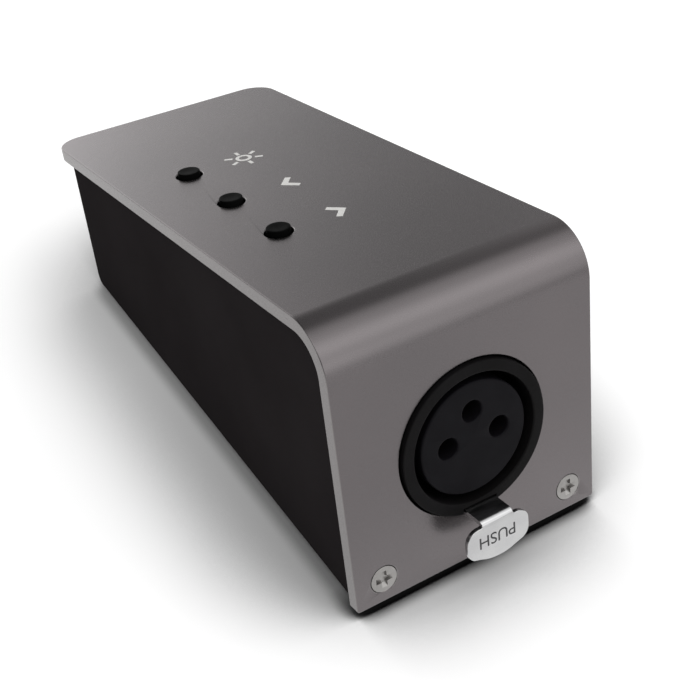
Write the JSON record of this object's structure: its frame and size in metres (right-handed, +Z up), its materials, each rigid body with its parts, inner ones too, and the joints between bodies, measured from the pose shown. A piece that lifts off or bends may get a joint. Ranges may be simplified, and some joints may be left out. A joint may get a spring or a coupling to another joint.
{
  "type": "usb dmx interface",
  "caption": "Small wedge-shaped lighting interface with a bent metal cover, round locking data socket, push buttons and a square USB socket.",
  "frame": {"origin": "centre of the bounding box at floor level, under the rubber feet", "axes": "+X to the right seen from the front, +Y from the locking socket back to the USB socket, +Z up; the case's own front-to-back axis slopes down to the rear by 12 degrees"},
  "size_m": [0.0396, 0.0976, 0.0401],
  "materials": {
    "satin_aluminium": "satin, grey anodised",
    "black_powder_coat": "matt powder coat",
    "bright_steel": "bright, plated",
    "black_plastic": "satin moulded",
    "rubber": "matt",
    "green_board": "solder mask",
    "brass": "bright",
    "gilt_contact": "gold plated",
    "pale_plastic": "moulded"
  },
  "bodies": {
    "case": {"top_cover": "satin_aluminium", "base_tray": "black_powder_coat", "rear_clip": "bright_steel", "front_screw_left": "bright_steel", "front_screw_right": "bright_steel", "clinch_nut_left": "bright_steel", "clinch_nut_right": "bright_steel", "foot_front_left": "rubber", "foot_front_right": "rubber", "foot_rear_left": "rubber", "foot_rear_right": "rubber", "main_board": "green_board", "standoff_front_left": "bright_steel", "standoff_front_right": "bright_steel", "standoff_rear_left": "bright_steel", "standoff_rear_right": "bright_steel", "board_screw_front_left": "bright_steel", "board_screw_front_right": "bright_steel", "board_screw_rear_left": "bright_steel", "board_screw_rear_right": "bright_steel", "switch_body_1": "black_plastic", "switch_body_2": "black_plastic", "switch_body_3": "black_plastic", "socket_housing": "black_plastic", "socket_insert": "black_plastic", "contact_carrier": "black_plastic", "socket_contact_1": "gilt_contact", "socket_contact_2": "gilt_contact", "socket_contact_3": "gilt_contact", "ground_contact": "brass", "latch_spring": "bright_steel", "usb_shell": "bright_steel", "usb_insulator": "pale_plastic", "usb_contact_1": "gilt_contact", "usb_contact_2": "gilt_contact", "usb_contact_3": "gilt_contact", "usb_contact_4": "gilt_contact", "line_driver": "black_plastic", "microcontroller": "black_plastic", "crystal": "bright_steel", "capacitor": "bright_steel", "isolating_converter": "black_plastic"},
    "button_1": {"button_cap_1": "black_plastic", "switch_plunger_1": "black_plastic"},
    "button_2": {"button_cap_2": "black_plastic", "switch_plunger_2": "black_plastic"},
    "button_3": {"button_cap_3": "black_plastic", "switch_plunger_3": "black_plastic"},
    "latch": {"latch": "bright_steel"}
  },
  "joints": [
    {"name": "button_1_press", "type": "slide", "parent": "case", "child": "button_1", "axis": [0, -0.2077, -0.9782], "range_m": [0, 0.0003], "stiffness_N_per_m": 3000},
    {"name": "button_2_press", "type": "slide", "parent": "case", "child": "button_2", "axis": [0, -0.2077, -0.9782], "range_m": [0, 0.0003], "stiffness_N_per_m": 3000},
    {"name": "button_3_press", "type": "slide", "parent": "case", "child": "button_3", "axis": [0, -0.2077, -0.9782], "range_m": [0, 0.0003], "stiffness_N_per_m": 3000},
    {"name": "latch_push", "type": "slide", "parent": "case", "child": "latch", "axis": [0, 0.9782, -0.2077], "range_m": [0, 0.002], "stiffness_N_per_m": 1500, "deforming": ["latch_spring"]}
  ]
}
